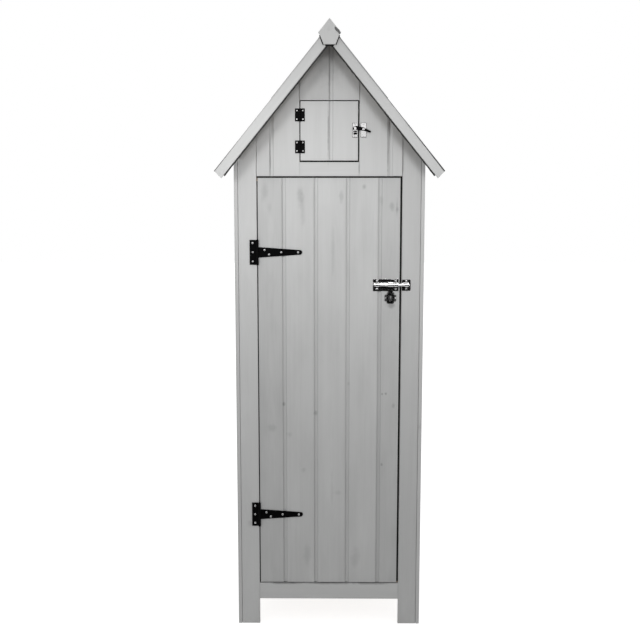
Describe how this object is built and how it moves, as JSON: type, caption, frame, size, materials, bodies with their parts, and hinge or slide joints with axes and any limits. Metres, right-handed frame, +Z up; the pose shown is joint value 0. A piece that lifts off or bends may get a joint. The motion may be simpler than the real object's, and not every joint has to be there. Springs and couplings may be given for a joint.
{
  "type": "garden storage cabinet",
  "caption": "Tall narrow wooden garden storage cabinet with a steep pointed roof, a hinged plank door with a padlock bolt, and a small hinged hatch in the gable.",
  "frame": {"origin": "on the ground, in the middle of the cabinet's width and depth", "axes": "+Z up, the door faces -Y, +X is the viewer's right"},
  "size_m": [0.74, 0.54, 2.0299],
  "materials": {
    "painted_softwood": "softwood boards with a thin light grey paint or stain",
    "bare_softwood": "bare planed softwood inside and behind",
    "black_iron": "black coated pressed steel, slightly glossy",
    "bright_zinc": "bright zinc plated steel",
    "screw_steel": "bright zinc plated steel screws",
    "roofing_felt": "dark mineral roofing felt"
  },
  "bodies": {
    "cabinet": {"attic_floor": "bare_softwood", "back_boards": "painted_softwood", "bolt_keeper": "bright_zinc", "bottom_rail": "painted_softwood", "catch_pivot": "bright_zinc", "catch_pivot_plate": "bright_zinc", "corner_boards": "painted_softwood", "door_hinge_pins": "black_iron", "door_stop": "bare_softwood", "finial_plate": "painted_softwood", "floor_bearers": "bare_softwood", "floor_boards": "bare_softwood", "frame_screws": "screw_steel", "front_bargeboard_left": "painted_softwood", "front_bargeboard_right": "painted_softwood", "front_post_left": "painted_softwood", "front_post_right": "painted_softwood", "gable_board_below_hatch": "painted_softwood", "gable_boards_above_hatch": "painted_softwood", "gable_boards_left": "painted_softwood", "gable_boards_right": "painted_softwood", "hatch_frame_screws": "screw_steel", "hatch_hinge_frame_leaves": "black_iron", "hatch_hinge_pins": "black_iron", "hatch_trimmer": "bare_softwood", "head_rails": "bare_softwood", "lower_hinge_plate": "black_iron", "rafters": "bare_softwood", "rear_bargeboards": "painted_softwood", "rear_posts": "painted_softwood", "ridge_batten": "bare_softwood", "ridge_strip": "roofing_felt", "roof_boards_left": "bare_softwood", "roof_boards_right": "bare_softwood", "roof_felt_left": "roofing_felt", "roof_felt_right": "roofing_felt", "shelves": "bare_softwood", "side_battens": "bare_softwood", "side_boards_left": "painted_softwood", "side_boards_right": "painted_softwood", "upper_hinge_plate": "black_iron", "uprights": "bare_softwood", "wall_plates": "bare_softwood"},
    "main_door": {"door_boards": "painted_softwood", "door_ledges_and_braces": "bare_softwood", "upper_hinge_strap": "black_iron", "lower_hinge_strap": "black_iron", "door_screws": "screw_steel", "bolt_plate": "bright_zinc", "hasp_staple": "bright_zinc", "staple_screws": "screw_steel"},
    "bolt_rod": {"bolt_rod": "bright_zinc"},
    "hasp": {"hasp": "bright_zinc"},
    "hatch": {"hatch_boards": "painted_softwood", "hatch_ledges": "bare_softwood", "hatch_hinge_door_leaves": "black_iron", "hatch_screws": "screw_steel", "catch_stud_plate": "bright_zinc"},
    "catch_arm": {"catch_arm": "black_iron"}
  },
  "joints": [
    {"name": "door_swing", "type": "hinge", "parent": "cabinet", "child": "main_door", "pos_m": [-0.2372, -0.1924, 0.843], "axis": [0, 0, -1], "range_deg": [0, 120]},
    {"name": "bolt_slide", "type": "slide", "parent": "main_door", "child": "bolt_rod", "axis": [-1, 0, 0], "range_m": [0, 0.027]},
    {"name": "hasp_turn", "type": "hinge", "parent": "bolt_rod", "child": "hasp", "pos_m": [0.203, -0.19745, 1.185], "axis": [-1, 0, 0], "range_deg": [0, 100]},
    {"name": "hatch_swing", "type": "hinge", "parent": "cabinet", "child": "hatch", "pos_m": [-0.0959, -0.1912, 1.6865], "axis": [0, 0, -1], "range_deg": [0, 120]},
    {"name": "catch_turn", "type": "hinge", "parent": "cabinet", "child": "catch_arm", "pos_m": [0.11065, -0.1921, 1.6925], "axis": [0, 1, 0], "range_deg": [0, 90]}
  ],
  "couplings": [
    {"joint": "bolt_slide", "follows": "hasp_turn", "m_per_rad": 0.01547}
  ]
}
